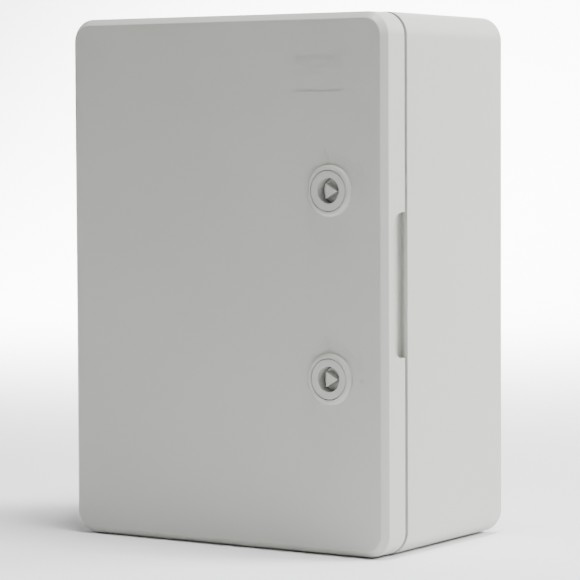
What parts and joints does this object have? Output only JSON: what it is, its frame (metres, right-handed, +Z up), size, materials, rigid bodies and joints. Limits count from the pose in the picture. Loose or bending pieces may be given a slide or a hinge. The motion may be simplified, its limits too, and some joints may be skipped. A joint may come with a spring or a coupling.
{
  "type": "electrical junction box",
  "caption": "Wall-mounted moulded plastic junction box with a hinged, gasketed door, quarter-turn locks and a steel mounting plate inside.",
  "frame": {"origin": "centre of the flat wall face at the back of the base", "axes": "+Z up, +X to the right seen from the front, -Y out of the wall towards the door"},
  "size_m": [0.2565, 0.153, 0.35],
  "materials": {
    "grey_abs": "fine moulded texture, light warm grey",
    "lock_nylon": "smooth moulded nylon, light grey",
    "black_rubber": "matt",
    "grey_foam": "foamed polyurethane skin",
    "zinc_plate": "zinc plated or galvanised, dull bright",
    "pin_steel": "plain drawn steel"
  },
  "bodies": {
    "base": {"enclosure_base": "grey_abs", "hinge_pin_upper": "pin_steel", "hinge_pin_lower": "pin_steel", "keeper_upper": "zinc_plate", "keeper_lower": "zinc_plate", "keeper_screw_upper": "zinc_plate", "keeper_screw_lower": "zinc_plate", "mounting_plate": "zinc_plate", "plate_screw_upper_right": "zinc_plate", "plate_screw_lower_right": "zinc_plate", "plate_screw_upper_left": "zinc_plate", "plate_screw_lower_left": "zinc_plate", "wall_plug_upper_right": "grey_abs", "wall_plug_lower_right": "grey_abs", "wall_plug_upper_left": "grey_abs", "wall_plug_lower_left": "grey_abs"},
    "door": {"door": "grey_abs", "door_gasket": "grey_foam", "lock_body_upper": "lock_nylon", "lock_seal_upper": "black_rubber", "lock_nut_upper": "zinc_plate", "lock_body_lower": "lock_nylon", "lock_seal_lower": "black_rubber", "lock_nut_lower": "zinc_plate"},
    "upper_lock": {"lock_spindle_upper": "lock_nylon", "lock_o_ring_upper": "black_rubber", "lock_cam_upper": "zinc_plate", "cam_washer_upper": "zinc_plate", "cam_screw_upper": "zinc_plate"},
    "lower_lock": {"lock_spindle_lower": "lock_nylon", "lock_o_ring_lower": "black_rubber", "lock_cam_lower": "zinc_plate", "cam_washer_lower": "zinc_plate", "cam_screw_lower": "zinc_plate"}
  },
  "joints": [
    {"name": "door_hinge", "type": "hinge", "parent": "base", "child": "door", "pos_m": [-0.1265, -0.1251, 0], "axis": [0, 0, -1], "range_deg": [0, 140]},
    {"name": "upper_lock_turn", "type": "hinge", "parent": "door", "child": "upper_lock", "pos_m": [0.0837, -0.15, 0.0605], "axis": [0, -1, 0], "range_deg": [0, 90]},
    {"name": "lower_lock_turn", "type": "hinge", "parent": "door", "child": "lower_lock", "pos_m": [0.0837, -0.15, -0.0605], "axis": [0, -1, 0], "range_deg": [0, 90]}
  ]
}
